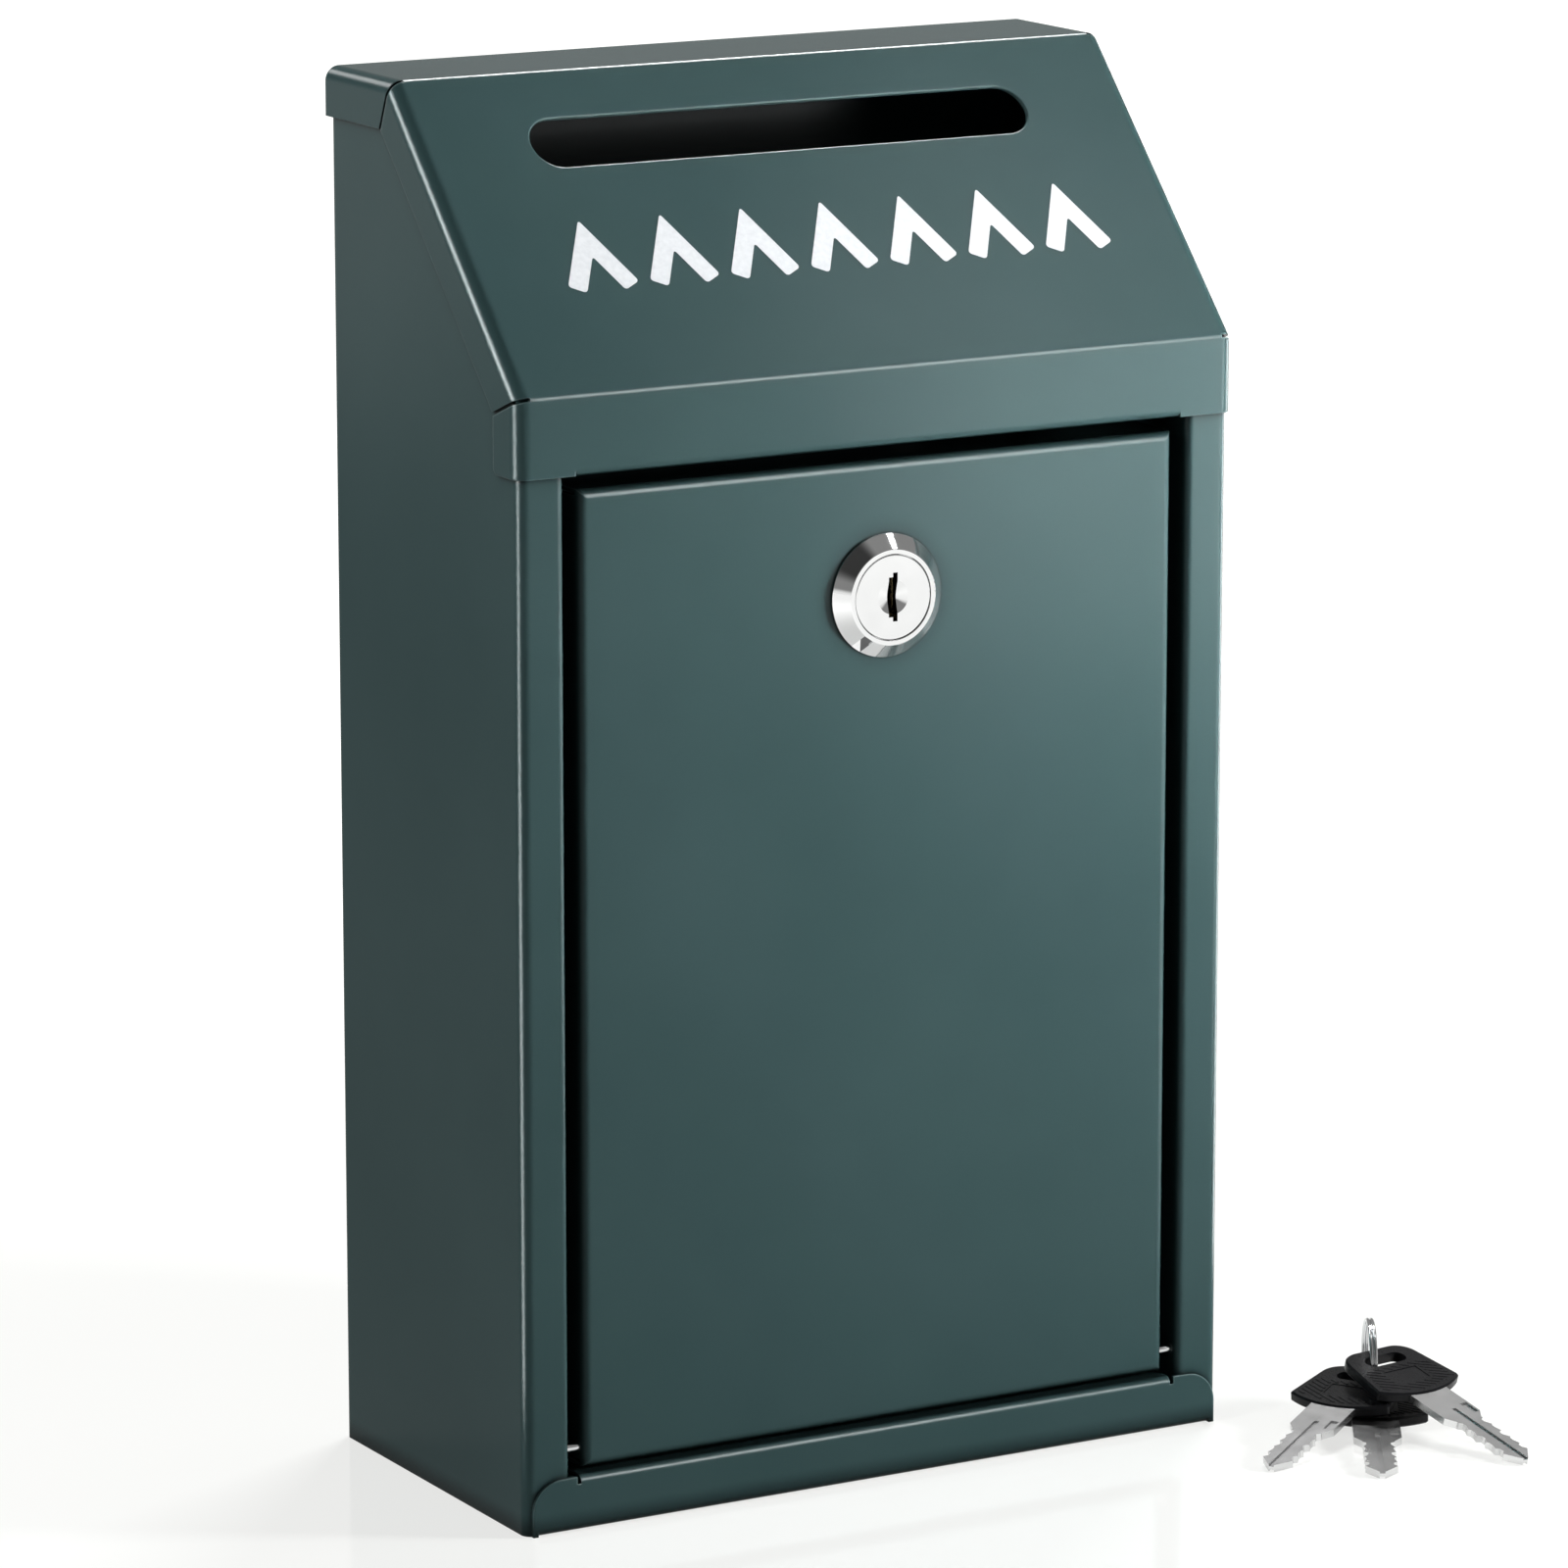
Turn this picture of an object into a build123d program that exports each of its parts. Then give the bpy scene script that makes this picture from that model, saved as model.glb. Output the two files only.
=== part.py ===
from build123d import *
import math
import os

os.makedirs("parts", exist_ok=True)

# Wall-mounted drop box of folded sheet steel. All sizes are in millimetres:
# X to the right, -Y to the front, Z up, and the back face lies on Y = 0.
# The origin is the centre of the four wall holes, and heights count from the base.

# Folded case: back, two sides and two front stiles in one strip
sheet = 0.8
case_width = 171.4
case_depth = 84.5
total_height = 300.0
stile_width = 10.5
case_bend = 2.4
stile_bend = 1.6
stile_return = 9.0
back_flange = 10.0
under_stile_gap = 0.1

# Wall holes in the back
wall_hole_radius = 2.75
wall_hole_spacing_x = 110.0
wall_hole_spacing_z = 200.0
wall_hole_height = 150.0

# Hood: top, slope and apron, with skirts down both sides
top_depth = 29.7
fold_height = 241.1
apron_bottom = 224.4
skirt_width = 10.5
skirt_corner = 1.5
fold_bend = 1.5
mitre_gap = 0.8
strike_depth = 16.0
strike_end_gap = 2.2

# Slot in the slope
slot_length = 120.0
slot_width = 12.5
slot_below_top_fold = 18.5
slot_edge_round = 0.25

# Floor pan with the front rail
pan_flange = 10.0
pan_bend = 1.5
rail_height = 11.8
rail_end_inset = 1.3
rail_lip = 7.0
ear_radius = 6.8
notch_width = 0.9
notch_depth = 1.6

# Door tray
door_recess = 0.3
door_side_gap = 3.4
door_top_gap = 3.1
door_bottom_gap = 1.2
door_return = 15.0
door_bend = 2.0
corner_relief = 0.6

# Hinge pins at the foot of the door
pin_radius = 1.0
pin_behind_front = 3.2
pin_above_door_bottom = 4.1
pin_head_radius = 1.5
pin_head_thickness = 1.0
pin_overhang = 1.2
pin_running_clearance = 0.06
pin_seat_clearance = 0.01

# Cam lock
lock_across = 1.0
lock_below_door_top = 28.7
bezel_radius = 13.2
bezel_rim = 0.5
bezel_height = 3.2
bezel_face_radius = 10.2
bezel_notch_width = 2.5
bezel_notch_angle = 235.0
barrel_radius = 9.5
barrel_flats = 16.0
barrel_length = 20.0
barrel_hole_gap = 0.15
bezel_floor = 0.6
head_radius = 9.05
head_gap = 0.12
head_recess = 0.1
plug_end_gap = 0.3
plug_radius = 6.5
plug_clearance = 0.05
dimple_radius = 3.65
dimple_depth = 1.1
keyway_width = 2.1
keyway_height = 8.5
keyway_step_width = 1.1
keyway_step_height = 10.4
keyway_end_wall = 1.8

# Wafers, drawn in flush as a key holds them
wafer_count = 8
wafer_first_depth = 2.6
wafer_pitch = 2.0
wafer_thickness = 1.0
wafer_width = 6.0
wafer_height = 11.0
wafer_window_width = 3.4
wafer_window_height = 9.0
wafer_lug = 1.5
wafer_lug_height = 1.0
wafer_lug_foot = 0.6
wafer_gap = 0.05
wafer_channel_depth = 0.8
spring_radius = 0.4
spring_length = 4.4

# Nut, stop washer, cam and its screw
nut_across_flats = 24.0
nut_thickness = 4.5
nut_chamfer = 0.7
nut_seat_gap = 0.05
stop_thickness = 1.1
stop_radius = 6.9
stop_tab_width = 3.0
stop_tab_radius = 8.9
stop_rim_radius = 7.2
stop_rim_height = 1.1
stop_play = 5.0
tail_square = 8.0
tail_gap = 0.05
tail_short = 0.1
cam_thickness = 2.0
cam_width = 15.0
cam_length = 38.0
cam_joggle_start = 12.5
cam_front_bend = 1.5
cam_tip_corner = 3.0
cam_behind_strike = 0.6
screw_radius = 2.0
screw_head_radius = 4.0
screw_head_thickness = 2.4
screw_depth = 4.0
screw_recess = 0.8
screw_recess_length = 4.4
cam_washer_radius = 6.0
cam_washer_thickness = 1.0
screw_gap = 0.05

# Keys: a moulded head on a flat steel blade
key_top_half = 9.2
key_foot_half = 11.8
key_top = 5.0
key_foot = 11.5
key_belly = 15.4
key_corner = 5.0
key_head_thickness = 2.4
key_head_round = 0.4
key_slot_length = 11.2
key_slot_width = 4.0
key_panel_width = 9.2
key_panel_height = 5.2
key_panel_centre = 7.4
key_panel_depth = 0.15
blade_thickness = 1.6
blade_bow_top = 5.0
shoulder_half = 5.2
shoulder_end = 26.0
blade_half = 3.5
blade_neck = 28.4
blade_tip_start = 43.6
blade_tip = 47.0
blade_tip_half = 0.7
blade_cuts = (0.9, 0.4, 1.0, 0.5, 0.8)
blade_land = 0.5
groove_width = 1.2
groove_depth = 0.45
groove_top = 23.2
side_groove_width = 1.9
side_groove_length = 4.2
side_groove_inset = 0.5
side_groove_top = 22.0

# The bunch lies on the surface under the box, beside its front right corner
bunch_beside_case = 30.3
bunch_before_case = 16.5
bunch_angle = 241.9
ring_radius = 9.5
ring_wire = 0.45
ring_coil_overlap = 0.04
key_rest_gap = 0.05
key_height_left = 7.7
key_height_middle = 3.6
key_height_right = 11.9
key_angle_left = -30.0
key_angle_middle = -3.0
key_angle_right = 36.0
key_slide_left = -3.0
key_slide_middle = 0.0
key_slide_right = 3.0
key_shift_left = 0.3
key_shift_middle = 2.8
key_shift_right = 0.1

# Places that follow from the sizes above
base = -wall_hole_height
front = -case_depth
half_width = case_width / 2
opening_half = half_width - stile_width
hood_bend = case_bend + sheet
hood_front = front - sheet
hood_half = half_width + sheet
flat_half = half_width - case_bend
strike_half = opening_half - strike_end_gap
door_face = front + door_recess
door_half = opening_half - door_side_gap
door_low = rail_height + door_bottom_gap
door_high = apron_bottom - door_top_gap
pin_y = front + pin_behind_front
pin_height = door_low + pin_above_door_bottom
lock_height = door_high - lock_below_door_top
slope_rise = (total_height - fold_height) / (-top_depth - hood_front)
slope_stretch = math.hypot(1, slope_rise)

side_view = Plane(origin=(0, 0, base), x_dir=(0, 1, 0), z_dir=(1, 0, 0))
lock_point = (lock_across, door_face, base + lock_height)
lock_section = Plane(origin=lock_point, x_dir=(1, 0, 0), z_dir=(0, 0, 1))
lock_axis = Axis((lock_across, door_face, base + lock_height), (0, 1, 0))


def plan_view(height):
    return Plane.XY.offset(base + height)


def front_view(y):
    return Plane(origin=(0, y, base), x_dir=(1, 0, 0), z_dir=(0, -1, 0))


def lock_plane(proud):
    # Square to the lock's axis, this far in front of the door's face
    centre = (lock_across, door_face - proud, base + lock_height)
    return Plane(origin=centre, x_dir=(1, 0, 0), z_dir=(0, -1, 0))


def folded_strip(points, bends, thickness=sheet):
    # Section of a folded sheet: the points lie on its outer face, the metal on their right
    with BuildLine() as section:
        FilletPolyline(*points, radius=bends)
        offset(amount=thickness, side=Side.RIGHT)
    return section.edges()


def slope_height(y, inset):
    # Height of the sloping face, moved inwards by the inset, at depth y
    return fold_height + slope_rise * (y - hood_front) - inset * slope_stretch


def hood_profile(inset):
    # Side view of the hood's face from back to apron, moved inwards by the inset
    top = total_height - inset
    crest = hood_front + (top - fold_height + inset * slope_stretch) / slope_rise
    brow = hood_front + inset
    return [(0, top), (crest, top), (brow, slope_height(brow, inset)), (brow, apron_bottom)]


# Case wrap: the strip is cut to the slope and drilled for the wall and the hinge
tab_half = flat_half - under_stile_gap
half_plan = [
    (opening_half, front + stile_return),
    (opening_half, front),
    (half_width, front),
    (half_width, 0),
]
wrap_points = [(-x, y) for x, y in half_plan] + half_plan[::-1]
wrap_bends = [stile_bend, case_bend, case_bend, case_bend, case_bend, stile_bend]
wall_top = hood_profile(hood_bend)
wrap_side = [
    (sheet, -sheet),
    (sheet, wall_top[0][1]),
    wall_top[1],
    (hood_front, slope_height(hood_front, hood_bend)),
    (hood_front, -sheet),
]
flange_top = total_height - sheet

with BuildPart() as case_wrap:
    with BuildSketch(plan_view(0)):
        make_face(folded_strip(wrap_points, wrap_bends))
    extrude(amount=total_height)
    with BuildSketch(side_view):
        with BuildLine():
            Polyline(*wrap_side, close=True)
        make_face()
    extrude(amount=half_width + sheet, both=True, mode=Mode.INTERSECT)
    back_run = [(-back_flange, flange_top), (0, flange_top), (0, wall_top[0][1] - skirt_width)]
    with BuildSketch(side_view):
        make_face(folded_strip(back_run, fold_bend))
    extrude(amount=flat_half - sheet, both=True)
    with BuildSketch(plan_view(0)):
        with Locations((0, front + stile_return / 2)):
            Rectangle(2 * tab_half, stile_return + 2 * sheet)
    extrude(amount=pan_bend + under_stile_gap, mode=Mode.SUBTRACT)
    with BuildSketch(Plane(origin=(0, 0, 0), x_dir=(1, 0, 0), z_dir=(0, -1, 0))):
        with GridLocations(wall_hole_spacing_x, wall_hole_spacing_z, 2, 2):
            Circle(wall_hole_radius)
    extrude(amount=2 * sheet, mode=Mode.SUBTRACT)
    for side in (-1, 1):
        with BuildSketch(side_view.offset(side * (opening_half - sheet / 2))):
            with Locations((pin_y, pin_height)):
                Circle(pin_radius + pin_seat_clearance)
        extrude(amount=side * 2 * sheet, mode=Mode.SUBTRACT)
case_wrap.part.label = "case_wrap"
export_step(case_wrap.part, "parts/case_wrap.step")


# Hood: a folded sheet between the side bends, three mitred skirts a side, a strike lip and the slot
def side_skirt(panel):
    outer = hood_profile(0)
    inner = hood_profile(skirt_width)
    start = Vector(0, outer[panel][0], outer[panel][1])
    run = Vector(0, outer[panel + 1][0], outer[panel + 1][1]) - start
    along = run.normalized()
    half_gap = along * (mitre_gap / 2)
    corners = [outer[panel], outer[panel + 1], inner[panel + 1], inner[panel]]
    shifts = [panel > 0, panel < 2, panel < 2, panel > 0]
    signs = [1, -1, -1, 1]
    mitred = [
        (y + sign * shift * half_gap.Y, z + sign * shift * half_gap.Z)
        for (y, z), shift, sign in zip(corners, shifts, signs)
    ]
    section_plane = Plane(origin=start + Vector(0, 0, base), x_dir=(1, 0, 0), z_dir=along)
    skirt_run = [(flat_half - sheet, 0), (hood_half, 0), (hood_half, -skirt_width)]
    with BuildPart() as skirt:
        with BuildSketch(section_plane):
            make_face(folded_strip(skirt_run, hood_bend))
        extrude(amount=run.length)
        with BuildSketch(side_view):
            with BuildLine():
                Polyline(*mitred, close=True)
            make_face()
        extrude(amount=hood_half + sheet, mode=Mode.INTERSECT)
        if panel == 2:
            corner = skirt.edges().filter_by(Axis.X).group_by(Axis.Z)[0].sort_by(Axis.Y)[-1]
            fillet(corner, skirt_corner)
    return skirt.part


crest_y, crest_z = hood_profile(0)[1]
slope_down = Vector(0, -1, -slope_rise).normalized()
slope_out = Vector(0, -slope_rise, 1).normalized()
slot_centre = Vector(0, crest_y, base + crest_z) + slope_down * slot_below_top_fold
slope_plane = Plane(origin=slot_centre, x_dir=(1, 0, 0), z_dir=slope_out)
skirts = [side_skirt(panel) for panel in range(3)]

with BuildPart() as hood:
    with BuildSketch(side_view):
        make_face(folded_strip(hood_profile(0)[::-1], fold_bend))
    extrude(amount=flat_half, both=True)
    for skirt_part in skirts:
        add(skirt_part)
        add(mirror(skirt_part, about=Plane.YZ, mode=Mode.PRIVATE))
    with BuildSketch(front_view(hood_front + sheet)):
        with Locations((0, apron_bottom)):
            Rectangle(2 * strike_half, fold_bend, align=(Align.CENTER, Align.MIN))
    extrude(amount=2 * sheet, mode=Mode.SUBTRACT)
    with BuildSketch(side_view):
        strike_points = [
            (hood_front + strike_depth, apron_bottom),
            (hood_front, apron_bottom),
            (hood_front, apron_bottom + 2 * fold_bend),
        ]
        make_face(folded_strip(strike_points, fold_bend))
    extrude(amount=strike_half, both=True)
    with BuildSketch(slope_plane):
        SlotOverall(slot_length, slot_width)
    extrude(amount=-2 * sheet, mode=Mode.SUBTRACT)
    slot_rim = hood.edges(Select.LAST).filter_by(
        lambda edge: abs((edge.center() - slot_centre).dot(slope_out)) < slot_edge_round / 10
    )
    fillet(slot_rim, slot_edge_round)
hood.part.label = "hood"
export_step(hood.part, "parts/hood.step")

# Floor pan: floor, back and side flanges, and the front rail with its eared ends over the stiles
rail_half = half_width - rail_end_inset
pan_half = half_width - sheet
pan_points = [
    (-sheet, pan_flange),
    (-sheet, 0),
    (hood_front, 0),
    (hood_front, rail_height),
    (hood_front + rail_lip, rail_height),
]
side_flange_points = [(pan_half, pan_flange), (pan_half, 0), (pan_half - pan_flange, 0)]
pan_back_end = -sheet - case_bend
pan_front_end = front + stile_return
ear_middle = (strike_half + rail_half) / 2

with BuildPart() as floor_pan:
    with BuildSketch(side_view):
        make_face(folded_strip(pan_points, pan_bend))
    extrude(amount=tab_half, both=True)
    with BuildSketch(front_view(front)):
        for side in (-1, 1):
            with Locations((side * ear_middle, rail_height)):
                corner = (rail_half - strike_half, rail_height - 2 * pan_bend)
                Rectangle(*corner, align=(Align.CENTER, Align.MAX))
    extrude(amount=rail_lip, both=True, mode=Mode.SUBTRACT)
    with BuildSketch(front_view(front)) as rail_face:
        Rectangle(2 * rail_half, rail_height, align=(Align.CENTER, Align.MIN))
        fillet(rail_face.vertices().group_by(Axis.Y)[-1], ear_radius)
        Rectangle(2 * tab_half, 2 * pan_bend, align=(Align.CENTER, Align.MIN), mode=Mode.SUBTRACT)
        with Locations((0, rail_height)):
            Rectangle(2 * strike_half, 2 * pan_bend, align=(Align.CENTER, Align.MAX), mode=Mode.SUBTRACT)
        for side in (-1, 1):
            with Locations((side * (strike_half + notch_width / 2), rail_height)):
                Rectangle(notch_width, 2 * notch_depth, mode=Mode.SUBTRACT)
    extrude(amount=sheet)
    with BuildSketch(plan_view(0)):
        with Locations((0, pan_back_end)):
            floor_width = 2 * (pan_half - pan_bend)
            Rectangle(floor_width, pan_back_end - pan_front_end, align=(Align.CENTER, Align.MAX))
    extrude(amount=sheet)
    for side in (-1, 1):
        with BuildSketch(front_view(pan_front_end)):
            points = side_flange_points if side > 0 else [(-x, y) for x, y in side_flange_points[::-1]]
            make_face(folded_strip(points, pan_bend))
        extrude(amount=pan_front_end - pan_back_end)
floor_pan.part.label = "floor_pan"
export_step(floor_pan.part, "parts/floor_pan.step")


# Door: a shallow tray with a return on all four sides
def door_block(inset):
    # Solid block inside the tray's outer face by the inset
    with BuildPart() as block:
        with BuildSketch(front_view(door_face + door_return)):
            with Locations((0, (door_low + door_high) / 2)):
                Rectangle(2 * (door_half - inset), door_high - door_low - 2 * inset)
        extrude(amount=door_return - inset)
        fillet(block.faces().sort_by(Axis.Y)[0].edges(), door_bend - inset)
    return block.part


door_outside = door_block(0)
door_inside = door_block(sheet)

with BuildPart() as door_panel:
    add(door_outside)
    add(door_inside, mode=Mode.SUBTRACT)
    with BuildSketch(front_view(door_face + door_return)):
        for side in (-1, 1):
            for end in (door_low + sheet + corner_relief / 2, door_high - sheet - corner_relief / 2):
                with Locations((side * door_half, end)):
                    Rectangle(2 * sheet, corner_relief)
    extrude(amount=door_return - door_bend, mode=Mode.SUBTRACT)
    with BuildSketch(lock_plane(sheet)):
        Circle(barrel_radius + barrel_hole_gap)
        Rectangle(barrel_flats + 2 * barrel_hole_gap, 4 * barrel_radius, mode=Mode.INTERSECT)
    extrude(amount=-3 * sheet, mode=Mode.SUBTRACT)
    for side in (-1, 1):
        with BuildSketch(side_view.offset(side * (door_half + sheet))):
            with Locations((pin_y, pin_height)):
                Circle(pin_radius + pin_running_clearance)
        extrude(amount=-side * 3 * sheet, mode=Mode.SUBTRACT)
door_panel.part.label = "door_panel"
export_step(door_panel.part, "parts/door_panel.step")


def turned_section(points, rounds):
    # Closed section to be turned about the lock's axis, with the inner corners rounded in order
    with BuildLine() as section:
        outline = FilletPolyline(*points, radius=rounds)
        Line(outline @ 1, outline @ 0)
    return section.edges()


def hinge_pin(side):
    # Headed pin pressed through the stile return, its end inside the door's side return
    head_face = opening_half + sheet
    length = head_face - (door_half - sheet - pin_overhang)
    with BuildPart() as pin:
        with BuildSketch(side_view.offset(side * head_face)):
            with Locations((pin_y, pin_height)):
                Circle(pin_radius)
        extrude(amount=-side * length)
        chamfer(pin.edges().sort_by(Axis.X)[0 if side > 0 else -1], pin_radius / 4)
        with BuildSketch(side_view.offset(side * head_face)):
            with Locations((pin_y, pin_height)):
                Circle(pin_head_radius)
        extrude(amount=side * pin_head_thickness)
    return pin.part


with BuildPart() as hinge_pin_left:
    add(hinge_pin(-1))
hinge_pin_left.part.label = "hinge_pin_left"
export_step(hinge_pin_left.part, "parts/hinge_pin_left.step")

with BuildPart() as hinge_pin_right:
    add(hinge_pin(1))
hinge_pin_right.part.label = "hinge_pin_right"
export_step(hinge_pin_right.part, "parts/hinge_pin_right.step")

# Lock housing: the bevelled bezel on the door and the barrel with two flats behind it
bore_radius = plug_radius + plug_clearance
seat_radius = head_radius + head_gap
rim_end = barrel_length + stop_rim_height
stop_swing = math.degrees(math.asin(stop_tab_width / 2 / stop_rim_radius)) + stop_play / 2
stop_angles = [180 - stop_swing, 225, 270 + stop_swing]
far = 2 * barrel_radius
stop_corners = [math.radians(angle) for angle in stop_angles]
stop_opening = [(0, 0)] + [(far * math.cos(turn), far * math.sin(turn)) for turn in stop_corners]
housing_section = [
    (bore_radius, barrel_length),
    (barrel_radius, barrel_length),
    (barrel_radius, 0),
    (bezel_radius, 0),
    (bezel_radius, -bezel_rim),
    (bezel_face_radius, -bezel_height),
    (seat_radius, -bezel_height),
    (seat_radius, -bezel_floor),
    (bore_radius, -bezel_floor),
]

with BuildPart() as lock_housing:
    with BuildSketch(lock_section):
        make_face(turned_section(housing_section, [0, 0, 0, 0.15, 0.3, 0.15, 0]))
    revolve(axis=lock_axis)
    with BuildSketch(lock_plane(-rim_end)):
        Circle(barrel_radius)
        Circle(stop_rim_radius, mode=Mode.SUBTRACT)
        with BuildLine():
            Polyline(*stop_opening, close=True)
        make_face(mode=Mode.SUBTRACT)
    extrude(amount=stop_rim_height)
    with BuildSketch(lock_plane(-rim_end)):
        Circle(bezel_radius)
        Rectangle(barrel_flats, 4 * barrel_radius, mode=Mode.SUBTRACT)
    extrude(amount=rim_end, mode=Mode.SUBTRACT)
    with BuildSketch(lock_plane(-barrel_length)):
        Rectangle(wafer_width + 4 * wafer_gap, 2 * (bore_radius + wafer_channel_depth))
    extrude(amount=barrel_length - wafer_first_depth / 2, mode=Mode.SUBTRACT)
    with BuildSketch(lock_plane(bezel_rim)):
        with PolarLocations((bezel_face_radius + bezel_radius) / 2, 1, start_angle=bezel_notch_angle):
            Rectangle(bezel_radius - bezel_face_radius, bezel_notch_width)
    extrude(amount=bezel_height, mode=Mode.SUBTRACT)
lock_housing.part.label = "lock_housing"
export_step(lock_housing.part, "parts/lock_housing.step")

# Lock plug: round face with a dished middle, keyway, wafer slots and a square tail
plug_face = bezel_height - head_recess
head_back = bezel_floor + head_gap
plug_end = barrel_length + plug_end_gap
cam_front = plug_end + stop_thickness
cam_rear = cam_front + cam_thickness
tail_end = cam_rear - tail_short
screw_end = cam_rear - screw_depth
wafer_starts = [wafer_first_depth + index * wafer_pitch for index in range(wafer_count)]
lug_end = wafer_width / 2 + wafer_lug
spring_foot = wafer_lug_foot - spring_length
plug_section = [
    (0, dimple_depth - plug_face),
    (dimple_radius, -plug_face),
    (head_radius, -plug_face),
    (head_radius, -head_back),
    (plug_radius, -head_back),
    (plug_radius, plug_end),
    (0, plug_end),
]

with BuildPart() as lock_plug:
    with BuildSketch(lock_section):
        make_face(turned_section(plug_section, [0, 0.25, 0, 0, 0]))
    revolve(axis=lock_axis)
    with BuildSketch(lock_plane(-plug_end)):
        Rectangle(tail_square, tail_square)
    extrude(amount=plug_end - tail_end)
    with BuildSketch(lock_plane(plug_face)):
        Rectangle(keyway_width, keyway_height)
        with Locations(((keyway_width - keyway_step_width) / 2, 0)):
            Rectangle(keyway_step_width, keyway_step_height)
    extrude(amount=keyway_end_wall - plug_end - plug_face, mode=Mode.SUBTRACT)
    for start in wafer_starts:
        with BuildSketch(lock_plane(wafer_gap - start)):
            Rectangle(wafer_width + 2 * wafer_gap, 3 * plug_radius)
            with Locations((0, spring_foot)):
                lug_room = spring_length + wafer_lug_height + wafer_gap
                Rectangle(lug_end + wafer_gap, lug_room, align=Align.MIN)
        extrude(amount=-wafer_thickness - 2 * wafer_gap, mode=Mode.SUBTRACT)
    with BuildSketch(lock_plane(-tail_end)):
        Circle(screw_radius + screw_gap)
    extrude(amount=tail_end - screw_end + 4 * screw_gap, mode=Mode.SUBTRACT)
lock_plug.part.label = "lock_plug"
export_step(lock_plug.part, "parts/lock_plug.step")

# Wafers: one plate with a window and a side lug for every slot of the plug
with BuildPart() as lock_wafers:
    for start in wafer_starts:
        with BuildSketch(lock_plane(-start)):
            Rectangle(wafer_width, wafer_height)
            with Locations((0, wafer_lug_foot)):
                Rectangle(lug_end, wafer_lug_height, align=Align.MIN)
            Rectangle(wafer_window_width, wafer_window_height, mode=Mode.SUBTRACT)
        extrude(amount=-wafer_thickness)
lock_wafers.part.label = "lock_wafers"
export_step(lock_wafers.part, "parts/lock_wafers.step")

# Springs: one under every lug, standing on the floor of its pocket
with BuildPart() as wafer_springs:
    for start in wafer_starts:
        spring_x = lock_across + (wafer_width / 2 + lug_end) / 2
        spring_y = door_face + start + wafer_thickness / 2
        with BuildSketch(plan_view(lock_height + spring_foot)):
            with Locations((spring_x, spring_y)):
                Circle(spring_radius)
        extrude(amount=spring_length)
wafer_springs.part.label = "wafer_springs"
export_step(wafer_springs.part, "parts/wafer_springs.step")

# Nut that draws the bezel against the door
with BuildPart() as lock_nut:
    with BuildSketch(lock_plane(-sheet)):
        RegularPolygon(nut_across_flats / 2, 6, major_radius=False)
        Circle(barrel_radius + nut_seat_gap, mode=Mode.SUBTRACT)
    extrude(amount=-nut_thickness)
    with BuildSketch(lock_section):
        with BuildLine():
            rear = sheet + nut_thickness
            corner = nut_across_flats / math.sqrt(3)
            slant = (corner - 2 * nut_chamfer, rear)
            Polyline((corner, rear - nut_chamfer), (corner, rear), slant, close=True)
        make_face()
    revolve(axis=lock_axis, mode=Mode.SUBTRACT)
lock_nut.part.label = "lock_nut"
export_step(lock_nut.part, "parts/lock_nut.step")

# Stop washer: its tab runs in the open part of the rim, a quarter turn from down to left
with BuildPart() as stop_washer:
    with BuildSketch(lock_plane(-plug_end)):
        Circle(stop_radius)
        Rectangle(stop_tab_width, stop_tab_radius, align=(Align.CENTER, Align.MAX))
        Rectangle(tail_square + 2 * tail_gap, tail_square + 2 * tail_gap, mode=Mode.SUBTRACT)
    extrude(amount=-stop_thickness)
stop_washer.part.label = "stop_washer"
export_step(stop_washer.part, "parts/stop_washer.step")

# Cam: joggled forward so that its tip stands just behind the hood's strike lip when turned up
cam_tip_front = hood_front + strike_depth + cam_behind_strike - door_face
cam_tip_rear = cam_tip_front + cam_thickness
cam_side = Plane(origin=lock_section.origin, x_dir=(-1, 0, 0), z_dir=(0, 0, -1))
cam_points = [
    (-cam_width / 2, cam_rear),
    (cam_joggle_start, cam_rear),
    (cam_joggle_start + cam_rear - cam_tip_rear, cam_tip_rear),
    (cam_length, cam_tip_rear),
]

with BuildPart() as lock_cam:
    with BuildSketch(cam_side):
        make_face(folded_strip(cam_points, [cam_front_bend + cam_thickness, cam_front_bend], cam_thickness))
    extrude(amount=cam_width / 2, both=True)
    with BuildSketch(lock_plane(-cam_rear)) as cam_outline:
        Rectangle(cam_length, cam_width, align=(Align.MAX, Align.CENTER))
        fillet(cam_outline.vertices().group_by(Axis.X)[0], cam_tip_corner)
        Circle(cam_width / 2)
    extrude(amount=cam_rear, mode=Mode.INTERSECT)
    with BuildSketch(lock_plane(-cam_rear)):
        Rectangle(tail_square + 2 * tail_gap, tail_square + 2 * tail_gap)
    extrude(amount=cam_thickness, mode=Mode.SUBTRACT)
lock_cam.part.label = "lock_cam"
export_step(lock_cam.part, "parts/lock_cam.step")

# Washer and screw that hold the cam on the square tail
with BuildPart() as cam_washer:
    with BuildSketch(lock_plane(-cam_rear)):
        Circle(cam_washer_radius)
        Circle(screw_radius + 2 * screw_gap, mode=Mode.SUBTRACT)
    extrude(amount=-cam_washer_thickness)
cam_washer.part.label = "cam_washer"
export_step(cam_washer.part, "parts/cam_washer.step")

screw_seat = cam_rear + cam_washer_thickness
screw_top = screw_seat + screw_head_thickness
screw_section = [
    (0, screw_end),
    (screw_radius, screw_end),
    (screw_radius, screw_seat),
    (screw_head_radius, screw_seat),
    (screw_head_radius, screw_top),
    (0, screw_top),
]

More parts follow.
